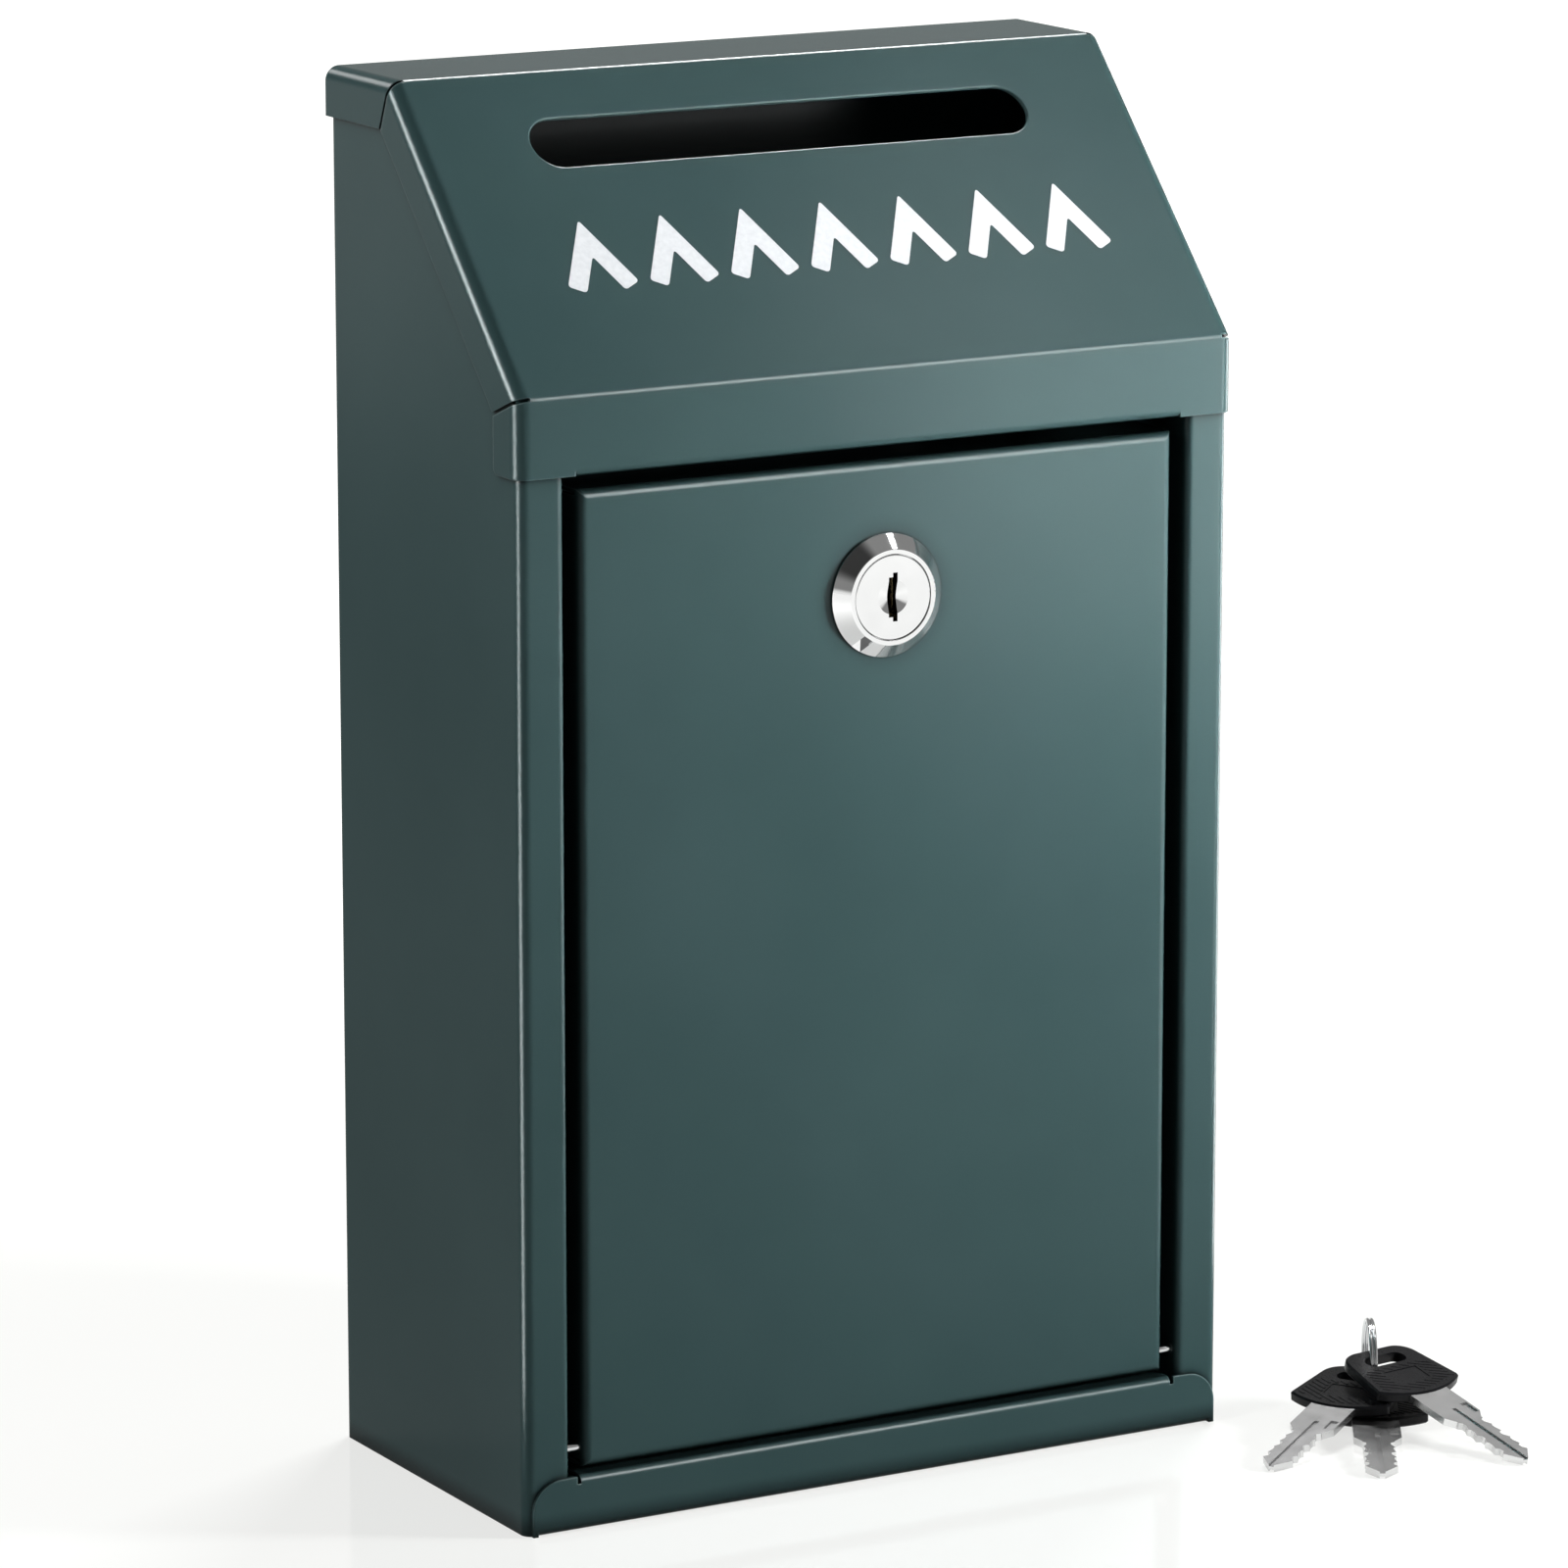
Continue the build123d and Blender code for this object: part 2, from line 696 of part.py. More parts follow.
with BuildPart() as cam_screw:
    with BuildSketch(lock_section):
        make_face(turned_section(screw_section, [0, 0, 0, 0.9]))
    revolve(axis=lock_axis)
    with BuildSketch(lock_plane(-screw_top)):
        Rectangle(screw_recess, screw_recess_length)
        Rectangle(screw_recess_length, screw_recess)
    extrude(amount=screw_head_thickness / 2, mode=Mode.SUBTRACT)
cam_screw.part.label = "cam_screw"
export_step(cam_screw.part, "parts/cam_screw.step")


# Keys: they lie in a low stack on one ring, every tip on the surface
wire_x = half_width + bunch_beside_case
wire_y = front - bunch_before_case


def key_plane(height, swing, slide, shift):
    # Middle plane of one key: origin at its slot, local Y towards the ring end
    heading = math.radians(bunch_angle + swing)
    away = math.radians(bunch_angle)
    tip_way = Vector(math.cos(heading), math.sin(heading), 0)
    across = Vector(-math.sin(heading), math.cos(heading), 0)
    pitch = math.asin((height - blade_thickness / 2 - key_rest_gap) / blade_tip)
    wire = Vector(wire_x, wire_y, base) - Vector(math.cos(away), math.sin(away), 0) * shift
    normal = Vector(0, 0, 1) * math.cos(pitch) + tip_way * math.sin(pitch)
    return Plane(origin=wire + across * slide + Vector(0, 0, height), x_dir=across, z_dir=normal)


def key_head(plane):
    # Moulded head: slot for the ring, a smooth panel on both faces, and a pocket round the blade's root
    with BuildPart() as head:
        with BuildSketch(plane.offset(-key_head_thickness / 2)) as outline:
            with BuildLine():
                sides = FilletPolyline(
                    (-key_foot_half, -key_foot),
                    (-key_top_half, key_top),
                    (key_top_half, key_top),
                    (key_foot_half, -key_foot),
                    radius=[key_corner, key_corner],
                )
                ThreePointArc(sides @ 1, (0, -key_belly), sides @ 0)
            make_face()
            feet = outline.vertices().filter_by(lambda corner: abs(corner.Y + key_foot) < 0.01)
            fillet(feet, 2 * key_head_round)
        extrude(amount=key_head_thickness)
        along = Axis(plane.origin, plane.z_dir)
        rims = head.faces().sort_by(along)[0].edges() + head.faces().sort_by(along)[-1].edges()
        chamfer(rims, key_head_round)
        with BuildSketch(plane.offset(-key_head_thickness)):
            SlotOverall(key_slot_length, key_slot_width)
        extrude(amount=2 * key_head_thickness, mode=Mode.SUBTRACT)
        for face in (-1, 1):
            with BuildSketch(plane.offset(face * (key_head_thickness / 2 - key_panel_depth))):
                with Locations((0, -key_panel_centre)):
                    Rectangle(key_panel_width, key_panel_height)
            extrude(amount=face * key_head_thickness, mode=Mode.SUBTRACT)
        with BuildSketch(plane.offset(-blade_thickness / 2)):
            with Locations((0, -blade_bow_top)):
                Rectangle(2 * shoulder_half, key_belly, align=(Align.CENTER, Align.MAX))
        extrude(amount=blade_thickness, mode=Mode.SUBTRACT)
    return head.part


def cut_edge(side, cuts):
    # Edge of the blade from neck to tip with a shallow notch for every wafer position
    step = (blade_tip_start - blade_neck) / len(cuts)
    points = []
    for index, depth in enumerate(cuts):
        middle = -blade_neck - step * (index + 0.5)
        points += [
            (side * blade_half, middle + step / 2 - blade_land),
            (side * (blade_half - depth), middle + blade_land),
            (side * (blade_half - depth), middle - blade_land),
        ]
    return points + [(side * blade_half, -blade_tip_start), (side * blade_tip_half, -blade_tip)]


def key_blade(plane):
    # Flat steel blade: root, shoulders, two cut edges and a long and a short groove on each face
    right = [(shoulder_half, -blade_bow_top), (shoulder_half, -shoulder_end), (blade_half, -blade_neck)]
    left = [(-x, y) for x, y in right]
    outline = right + cut_edge(1, blade_cuts) + cut_edge(-1, blade_cuts[::-1])[::-1] + left[::-1]
    with BuildPart() as blade:
        with BuildSketch(plane.offset(-blade_thickness / 2)):
            with BuildLine():
                Polyline(*outline, close=True)
            make_face()
        extrude(amount=blade_thickness)
        for face in (-1, 1):
            with BuildSketch(plane.offset(face * (blade_thickness / 2 - groove_depth))):
                with Locations((0, -groove_top)):
                    Rectangle(groove_width, blade_tip, align=(Align.CENTER, Align.MAX))
                with Locations((shoulder_half - side_groove_inset, -side_groove_top)):
                    Rectangle(side_groove_width, side_groove_length, align=(Align.MAX, Align.MAX))
            extrude(amount=face * blade_thickness, mode=Mode.SUBTRACT)
    return blade.part


left_place = key_plane(key_height_left, key_angle_left, key_slide_left, key_shift_left)
middle_place = key_plane(key_height_middle, key_angle_middle, key_slide_middle, key_shift_middle)
right_place = key_plane(key_height_right, key_angle_right, key_slide_right, key_shift_right)

with BuildPart() as key_head_left:
    add(key_head(left_place))
key_head_left.part.label = "key_head_left"
export_step(key_head_left.part, "parts/key_head_left.step")

with BuildPart() as key_blade_left:
    add(key_blade(left_place))
key_blade_left.part.label = "key_blade_left"
export_step(key_blade_left.part, "parts/key_blade_left.step")

with BuildPart() as key_head_middle:
    add(key_head(middle_place))
key_head_middle.part.label = "key_head_middle"
export_step(key_head_middle.part, "parts/key_head_middle.step")

with BuildPart() as key_blade_middle:
    add(key_blade(middle_place))
key_blade_middle.part.label = "key_blade_middle"
export_step(key_blade_middle.part, "parts/key_blade_middle.step")

with BuildPart() as key_head_right:
    add(key_head(right_place))
key_head_right.part.label = "key_head_right"
export_step(key_head_right.part, "parts/key_head_right.step")

with BuildPart() as key_blade_right:
    add(key_blade(right_place))
key_blade_right.part.label = "key_blade_right"
export_step(key_blade_right.part, "parts/key_blade_right.step")

# Split ring of two turns, standing on the surface with its wire through the three slots
bunch_way = Vector(math.cos(math.radians(bunch_angle)), math.sin(math.radians(bunch_angle)), 0)
ring_height = ring_radius + ring_wire + key_rest_gap
ring_centre = Vector(wire_x, wire_y, base + ring_height) - bunch_way * ring_radius
ring_section = Plane(origin=ring_centre, x_dir=bunch_way, z_dir=(0, 0, 1))
coil_half = ring_wire - ring_coil_overlap / 2

with BuildPart() as key_ring:
    with BuildSketch(ring_section):
        with Locations((ring_radius, -coil_half), (ring_radius, coil_half)):
            Circle(ring_wire)
    revolve(axis=Axis(ring_centre, ring_section.y_dir))
key_ring.part.label = "key_ring"
export_step(key_ring.part, "parts/key_ring.step")
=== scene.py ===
import math
import bpy
from mathutils import Matrix, Vector


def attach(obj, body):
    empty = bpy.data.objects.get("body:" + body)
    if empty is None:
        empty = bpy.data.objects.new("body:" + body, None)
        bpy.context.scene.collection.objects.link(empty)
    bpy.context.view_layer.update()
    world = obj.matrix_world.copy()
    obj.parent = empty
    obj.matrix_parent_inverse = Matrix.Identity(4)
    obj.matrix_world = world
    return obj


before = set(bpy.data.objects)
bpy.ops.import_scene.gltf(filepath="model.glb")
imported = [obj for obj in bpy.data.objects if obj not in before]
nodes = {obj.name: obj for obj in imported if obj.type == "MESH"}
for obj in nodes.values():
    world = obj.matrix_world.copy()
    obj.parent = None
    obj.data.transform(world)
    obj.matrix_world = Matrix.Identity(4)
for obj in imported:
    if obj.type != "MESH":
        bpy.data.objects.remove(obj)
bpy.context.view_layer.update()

baseHeight = -0.150  # the surface under the box, in the frame
print("frame loaded:", len(nodes), "pieces")


# Node helpers shared by all finishes

noiseBand = (0.3, 0.7)  # where most of a noise lies


def newFinish(name):
    finish = bpy.data.materials.new(name)
    finish.use_nodes = True
    tree = finish.node_tree
    return finish, tree.nodes, tree.links, tree.nodes["Principled BSDF"]


def objectPoint(treeNodes):
    return treeNodes.new("ShaderNodeTexCoord").outputs["Object"]


def opaque(colour):
    return (*colour, 1)


def feed(links, socket, value):
    # A link from another node's socket, or else a constant
    if isinstance(value, bpy.types.NodeSocket):
        links.new(value, socket)
    else:
        socket.default_value = value


def noise(treeNodes, links, point, scale, detail=2.0, roughness=0.5):
    cloud = treeNodes.new("ShaderNodeTexNoise")
    cloud.inputs["Scale"].default_value = scale
    cloud.inputs["Detail"].default_value = detail
    cloud.inputs["Roughness"].default_value = roughness
    links.new(point, cloud.inputs["Vector"])
    return cloud.outputs["Fac"]


def ramp(treeNodes, links, source, fromRange, toRange, smooth=False):
    mapped = treeNodes.new("ShaderNodeMapRange")
    if smooth:
        mapped.interpolation_type = "SMOOTHSTEP"
    for label, pair in (("From", fromRange), ("To", toRange)):
        mapped.inputs[label + " Min"].default_value = pair[0]
        mapped.inputs[label + " Max"].default_value = pair[1]
    links.new(source, mapped.inputs["Value"])
    return mapped.outputs["Result"]


def spread(treeNodes, links, source, low, high):
    return ramp(treeNodes, links, source, noiseBand, (low, high))


def numberOf(treeNodes, links, operation, first, second):
    reckoned = treeNodes.new("ShaderNodeMath")
    reckoned.operation = operation
    feed(links, reckoned.inputs[0], first)
    feed(links, reckoned.inputs[1], second)
    return reckoned.outputs["Value"]


def measureOf(treeNodes, links, operation, first, second):
    # A number made from two vectors
    measure = treeNodes.new("ShaderNodeVectorMath")
    measure.operation = operation
    feed(links, measure.inputs[0], first)
    feed(links, measure.inputs[1], second)
    return measure.outputs["Value"]


def blendColours(treeNodes, links, source, first, second):
    mix = treeNodes.new("ShaderNodeMix")
    mix.data_type = "RGBA"
    feed(links, mix.inputs["A"], first)
    feed(links, mix.inputs["B"], second)
    links.new(source, mix.inputs["Factor"])
    return mix.outputs["Result"]


def addBump(treeNodes, links, shader, height, strength, distance, normal=None):
    bump = treeNodes.new("ShaderNodeBump")
    bump.inputs["Strength"].default_value = strength
    bump.inputs["Distance"].default_value = distance
    links.new(height, bump.inputs["Height"])
    if normal:
        links.new(normal, bump.inputs["Normal"])
    links.new(bump.outputs["Normal"], shader.inputs["Normal"])


# Finishes

powderCoat = {
    "deep": (0.033, 0.067, 0.069),
    "light": (0.040, 0.077, 0.079),
    # Lighter coat along the edges: wear, and a painted highlight
    "rubbedAndSheen": (0.17, 0.25, 0.255),
    "driftScale": 14,
    "gloss": 0.17,
    "matt": 0.23,
    "specular": 0.065,
    "peelScale": 520,
    "grainScale": 2600,
    "grainShare": 0.35,
    "bump": 0.12,
    "bumpHeight": 0.00006,
    "edgeRound": 0.0006,
    "edgeSamples": 4,
    "edgeTurn": (0.995, 0.80),
    "rubAndSheenMost": 0.9,
    "rubAndSheenScale": 90,
    "rubAndSheenLeast": 0.35,
    # Painted shade in the creases of the coat and beside its steps
    "creaseShadeReach": 0.005,
    "creaseShadeSamples": 6,
    "creaseShadeOpen": (0.66, 0.985),
    "creaseShadeLevel": 0.25,
}


def makePowderCoat():
    finish, treeNodes, links, shader = newFinish("greenPowderCoat")
    look = powderCoat
    point = objectPoint(treeNodes)
    drift = spread(treeNodes, links, noise(treeNodes, links, point, look["driftScale"], detail=3.0), 0, 1)
    body = blendColours(treeNodes, links, drift, opaque(look["deep"]), opaque(look["light"]))
    # The coat is thinner and a little rubbed along the sheet's edges, and its lighter colour there is also
    # a painted highlight
    rounded = treeNodes.new("ShaderNodeBevel")
    rounded.samples = look["edgeSamples"]
    rounded.inputs["Radius"].default_value = look["edgeRound"]
    flat = treeNodes.new("ShaderNodeNewGeometry")
    turned = measureOf(treeNodes, links, "DOT_PRODUCT", rounded.outputs["Normal"], flat.outputs["Normal"])
    edge = ramp(treeNodes, links, turned, look["edgeTurn"], (0, look["rubAndSheenMost"]))
    patches = noise(treeNodes, links, point, look["rubAndSheenScale"], detail=3.0)
    patchy = spread(treeNodes, links, patches, look["rubAndSheenLeast"], 1)
    rubAndSheen = numberOf(treeNodes, links, "MULTIPLY", edge, patchy)
    coat = blendColours(treeNodes, links, rubAndSheen, body, opaque(look["rubbedAndSheen"]))
    # Painted shade: ambient occlusion darkens the coat's colour in creases and beside steps
    creaseShade = treeNodes.new("ShaderNodeAmbientOcclusion")
    creaseShade.samples = look["creaseShadeSamples"]
    creaseShade.inputs["Distance"].default_value = look["creaseShadeReach"]
    depth = ramp(treeNodes, links, creaseShade.outputs["AO"], look["creaseShadeOpen"], (look["creaseShadeLevel"], 1.0))
    creaseShaded = treeNodes.new("ShaderNodeVectorMath")
    creaseShaded.operation = "SCALE"
    links.new(coat, creaseShaded.inputs[0])
    links.new(depth, creaseShaded.inputs["Scale"])
    links.new(creaseShaded.outputs["Vector"], shader.inputs["Base Color"])
    peel = noise(treeNodes, links, point, look["peelScale"], detail=1.0)
    grain = noise(treeNodes, links, point, look["grainScale"])
    links.new(spread(treeNodes, links, grain, look["gloss"], look["matt"]), shader.inputs["Roughness"])
    shader.inputs["Specular IOR Level"].default_value = look["specular"]
    both = treeNodes.new("ShaderNodeMath")
    both.operation = "MULTIPLY_ADD"
    both.inputs[1].default_value = look["grainShare"]
    links.new(grain, both.inputs[0])
    links.new(peel, both.inputs[2])
    height = both.outputs["Value"]
    addBump(treeNodes, links, shader, height, look["bump"], look["bumpHeight"], rounded.outputs["Normal"])
    return finish


metals = {
    "polishedChrome": {
        "tint": (0.80, 0.805, 0.81), "worn": (0.70, 0.705, 0.71),
        "low": 0.03, "high": 0.08, "scale": 420, "bump": 0.02,
    },
    "zincPlate": {
        "tint": (0.62, 0.63, 0.65), "worn": (0.50, 0.52, 0.55),
        "low": 0.26, "high": 0.42, "scale": 900, "bump": 0.12,
    },
    "plainBrass": {
        "tint": (0.78, 0.60, 0.30), "worn": (0.66, 0.49, 0.23),
        "low": 0.22, "high": 0.36, "scale": 1200, "bump": 0.10,
    },
    "springSteel": {
        "tint": (0.80, 0.81, 0.82), "worn": (0.66, 0.67, 0.68),
        "low": 0.10, "high": 0.20, "scale": 700, "bump": 0.05,
    },
    "nickelBlade": {
        "tint": (0.78, 0.78, 0.78), "worn": (0.68, 0.68, 0.685),
        "low": 0.22, "high": 0.27, "scale": 160, "bump": 0.015,
    },
}
metalGrain = {"height": 0.00004, "detail": 4.0, "roughness": 0.6, "perPatch": 8}


def makeMetal(name):
    look = metals[name]
    finish, treeNodes, links, shader = newFinish(name)
    point = objectPoint(treeNodes)
    patches = noise(treeNodes, links, point, look["scale"] / metalGrain["perPatch"], detail=3.0)
    wear = spread(treeNodes, links, patches, 0, 1)
    colour = blendColours(treeNodes, links, wear, opaque(look["tint"]), opaque(look["worn"]))
    links.new(colour, shader.inputs["Base Color"])
    shader.inputs["Metallic"].default_value = 1.0
    grain = noise(treeNodes, links, point, look["scale"], metalGrain["detail"], metalGrain["roughness"])
    links.new(spread(treeNodes, links, grain, look["low"], look["high"]), shader.inputs["Roughness"])
    addBump(treeNodes, links, shader, grain, look["bump"], metalGrain["height"])
    return finish


blackPlastic = {
    "deep": (0.005, 0.005, 0.006),
    "light": (0.009, 0.009, 0.010),
    "cloudScale": 160,
    "gloss": 0.24,
    "matt": 0.36,
    "specular": 0.15,
    "grainScale": 5200,
    "bump": 0.15,
    "bumpHeight": 0.00003,
}


def makePlastic():
    finish, treeNodes, links, shader = newFinish("blackPlastic")
    look = blackPlastic
    point = objectPoint(treeNodes)
    cloud = spread(treeNodes, links, noise(treeNodes, links, point, look["cloudScale"]), 0, 1)
    colour = blendColours(treeNodes, links, cloud, opaque(look["deep"]), opaque(look["light"]))
    links.new(colour, shader.inputs["Base Color"])
    shader.inputs["Specular IOR Level"].default_value = look["specular"]
    grain = noise(treeNodes, links, point, look["grainScale"], detail=3.0)
    links.new(spread(treeNodes, links, grain, look["gloss"], look["matt"]), shader.inputs["Roughness"])
    addBump(treeNodes, links, shader, grain, look["bump"], look["bumpHeight"])
    return finish


whitePrint = {
    "clean": (0.74, 0.765, 0.79),
    "thin": (0.66, 0.685, 0.71),
    "inkScale": 900,
    "gloss": 0.38,
    "matt": 0.52,
    "bump": 0.08,
    "bumpHeight": 0.00003,
}


def makePrint():
    finish, treeNodes, links, shader = newFinish("whitePrint")
    look = whitePrint
    point = objectPoint(treeNodes)
    ink = noise(treeNodes, links, point, look["inkScale"], detail=3.0)
    cover = spread(treeNodes, links, ink, 0, 1)
    colour = blendColours(treeNodes, links, cover, opaque(look["clean"]), opaque(look["thin"]))
    links.new(colour, shader.inputs["Base Color"])
    links.new(spread(treeNodes, links, ink, look["gloss"], look["matt"]), shader.inputs["Roughness"])
    addBump(treeNodes, links, shader, ink, look["bump"], look["bumpHeight"])
    return finish


finishes = {name: makeMetal(name) for name in metals}
finishes["powder"] = makePowderCoat()
finishes["plastic"] = makePlastic()
finishes["print"] = makePrint()

finishOf = {
    "powder": ["case_wrap", "floor_pan", "hood", "door_panel"],
    "polishedChrome": ["lock_housing", "lock_plug"],
    "zincPlate": ["lock_nut", "stop_washer", "lock_cam", "cam_washer", "cam_screw"],
    "plainBrass": ["lock_wafers"],
    "springSteel": ["wafer_springs", "key_ring", "hinge_pin_left", "hinge_pin_right"],
    "nickelBlade": ["key_blade_left", "key_blade_middle", "key_blade_right"],
    "plastic": ["key_head_left", "key_head_middle", "key_head_right"],
}
for finishName, members in finishOf.items():
    for member in members:
        nodes[member].material_slots[0].material = finishes[finishName]
print("finishes assigned")


# Modelling helpers


def deselectAll():
    bpy.ops.object.select_all(action="DESELECT")


def settle(piece, name, finish):
    # Name, finish and place in the mesh
    piece.name = name
    piece.data.name = name
    piece.data.materials.clear()
    piece.data.materials.append(finishes[finish])
    deselectAll()
    piece.select_set(True)
    bpy.context.view_layer.objects.active = piece
    bpy.ops.object.transform_apply(location=True, rotation=True, scale=True)
    return piece


def joinPieces(pieces):
    deselectAll()
    for piece in pieces:
        piece.select_set(True)
    bpy.context.view_layer.objects.active = pieces[0]
    bpy.ops.object.join()
    return bpy.context.view_layer.objects.active


def copyPiece(piece, matrix):
    # A copy with its own mesh, set at the matrix
    twin = piece.copy()
    twin.data = piece.data.copy()
    bpy.context.scene.collection.objects.link(twin)
    twin.matrix_world = matrix
    return twin


# Print on the slope: plain chevrons that point up to the slot

chevronRow = {
    "count": 7,
    "span": 0.132,
    "centreX": 0.001,
    "upTheSlope": 0.0318,
    "halfWidth": 0.0064,
    "rise": 0.0125,
    "stroke": 0.0042,
    "ink": 0.00006,
    "round": 0.0008,
    "roundSteps": 4,
    "mergeReach": 0.00001,
    "flatAngle": 0.01,
    "foldY": -0.0853,
    "foldHeight": 0.0911,
    "slopeRise": 1.05935,
}


def makeChevron():
    row = chevronRow
    # One arm runs down from the middle line, square at its foot
    lean = math.atan2(row["rise"], row["halfWidth"])
    armLength = math.hypot(row["halfWidth"], row["rise"])
    deselectAll()
    bpy.ops.mesh.primitive_plane_add(size=1, location=(0, 0, 0))
    chevron = bpy.context.object
    chevron.scale = (armLength, row["stroke"], 1)
    chevron.rotation_euler = (0, 0, -lean)
    chevron.location = (row["halfWidth"] / 2, 0, 0)
    bpy.ops.object.transform_apply(location=True, rotation=True, scale=True)
    # Both corners of its head slide along the arm to the middle line
    for upper in (True, False):
        heads = [corner for corner in chevron.data.vertices if corner.co.x < row["halfWidth"] / 2]
        head = sorted(heads, key=lambda corner: corner.co.y)[-1 if upper else 0]
        headIndex, slide = head.index, -head.co.x
        bpy.ops.object.mode_set(mode="EDIT")
        bpy.ops.mesh.select_all(action="DESELECT")
        bpy.ops.object.mode_set(mode="OBJECT")
        chevron.data.vertices[headIndex].select = True
        bpy.ops.object.mode_set(mode="EDIT")
        bpy.ops.transform.translate(value=(slide, -slide * math.tan(lean), 0))
        bpy.ops.object.mode_set(mode="OBJECT")
    mirrored = chevron.modifiers.new("otherArm", "MIRROR")
    mirrored.use_clip = True
    mirrored.merge_threshold = row["mergeReach"]
    bpy.ops.object.modifier_apply(modifier=mirrored.name)
    bpy.ops.object.mode_set(mode="EDIT")
    bpy.ops.mesh.select_all(action="SELECT")
    bpy.ops.mesh.dissolve_limited(angle_limit=row["flatAngle"])
    bpy.ops.mesh.select_all(action="SELECT")
    bpy.ops.mesh.bevel(offset=row["round"], segments=row["roundSteps"], affect="VERTICES")
    bpy.ops.mesh.select_all(action="SELECT")
    bpy.ops.mesh.normals_make_consistent(inside=False)
    bpy.ops.object.mode_set(mode="OBJECT")
    # Extruding in edit mode gives the side faces in another order each run, and this doesn't
    thickened = chevron.modifiers.new("ink", "SOLIDIFY")
    thickened.thickness = row["ink"]
    thickened.offset = 1
    bpy.ops.object.modifier_apply(modifier=thickened.name)
    return chevron


def makeChevrons():
    row = chevronRow
    chevron = makeChevron()
    upSlope = Vector((0, 1, row["slopeRise"])).normalized()
    tilt = Matrix.Rotation(math.atan(row["slopeRise"]), 4, "X")
    foldPoint = Vector((0, row["foldY"], row["foldHeight"]))
    step = (row["span"] - 2 * row["halfWidth"] - row["stroke"]) / (row["count"] - 1)
    copies = []
    for index in range(row["count"]):
        across = row["centreX"] + (index - (row["count"] - 1) / 2) * step
        spot = foldPoint + upSlope * row["upTheSlope"] + Vector((across, 0, 0))
        copies.append(copyPiece(chevron, Matrix.Translation(spot) @ tilt))
    bpy.data.objects.remove(chevron)
    chevrons = settle(joinPieces(copies), "slope_print", "print")
    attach(chevrons, "case")


makeChevrons()
print("print on the slope made")


# Ribs moulded on the upper face of every key head

bunch = {
    "wire": Vector((0.116, -0.101, baseHeight)),
    "angle": 241.9,
    "tipLength": 0.047,
    "restHeight": 0.00085,
}
keys = {
    "left": {"height": 0.0077, "turn": -30.0, "slide": -0.003, "shift": 0.0003},
    "middle": {"height": 0.0036, "turn": -3.0, "slide": 0.0, "shift": 0.0028},
    "right": {"height": 0.0119, "turn": 36.0, "slide": 0.003, "shift": 0.0001},
}
ribs = {
    "pitch": 0.00125,
    "width": 0.00062,
    "proud": 0.00013,
    "sunk": 0.00006,
    "slant": 32.0,
    "faceHeight": 0.0012,
    "border": 0.0016,
    "highest": -0.0030,
    "shortest": 0.0012,
    "roundShare": 0.8,
    "middle": Vector((0, -0.008)),
    "lanes": 30,
    "steps": 100,
    "stepLength": 0.0002,
}
headShape = {"topHalf": 0.0092, "footHalf": 0.0118, "top": 0.005, "foot": -0.0115, "belly": -0.0154}
panel = {"halfWidth": 0.0046, "low": -0.0100, "high": -0.0048, "margin": 0.0007}


def keyMatrix(key):
    # The key's middle plane: X across it, Y towards the ring, Z up
    heading = math.radians(bunch["angle"] + key["turn"])
    away = math.radians(bunch["angle"])
    tipWay = Vector((math.cos(heading), math.sin(heading), 0))
    across = Vector((-math.sin(heading), math.cos(heading), 0))
    pitch = math.asin((key["height"] - bunch["restHeight"]) / bunch["tipLength"])
    shift = Vector((math.cos(away), math.sin(away), 0)) * key["shift"]
    spot = bunch["wire"] - shift + across * key["slide"]
    spot = spot + Vector((0, 0, key["height"]))
    normal = Vector((0, 0, 1)) * math.cos(pitch) + tipWay * math.sin(pitch)
    along = normal.cross(across)
    return Matrix((
        (across.x, along.x, normal.x, spot.x),
        (across.y, along.y, normal.y, spot.y),
        (across.z, along.z, normal.z, spot.z),
        (0, 0, 0, 1),
    ))


def onRibbedFace(x, y):
    # Inside the border, and clear of the slot and the smooth panel
    head = headShape
    border = ribs["border"]
    if y > ribs["highest"] or y < head["belly"] + border:
        return False
    share = (head["top"] - y) / (head["top"] - head["foot"])
    half = head["topHalf"] + (head["footHalf"] - head["topHalf"]) * share
    if y < head["foot"]:
        depth = (y - head["belly"] - border) / (head["foot"] - head["belly"])
        half = head["footHalf"] * math.sqrt(max(0, depth))
    if abs(x) > half - border:
        return False
    inWidth = abs(x) < panel["halfWidth"] + panel["margin"]
    inHeight = panel["low"] - panel["margin"] < y < panel["high"] + panel["margin"]
    return not (inWidth and inHeight)


def ribRuns():
    # Straight runs of the slanted hatch on the face, as (x, y, length)
    slant = -math.radians(ribs["slant"])
    way = Vector((math.cos(slant), math.sin(slant)))
    side = Vector((-way.y, way.x))
    runs = []
    for lane in range(-ribs["lanes"], ribs["lanes"] + 1):
        start = None
        for step in range(-ribs["steps"], ribs["steps"] + 1):
            point = side * lane * ribs["pitch"] + way * step * ribs["stepLength"] + ribs["middle"]
            inside = onRibbedFace(point.x, point.y)
            if inside and start is None:
                start = point
            if start is not None and (not inside or step == ribs["steps"]):
                length = (point - start).length
                if length > ribs["shortest"]:
                    runs.append(((start.x + point.x) / 2, (start.y + point.y) / 2, length))
                start = None
    return slant, runs


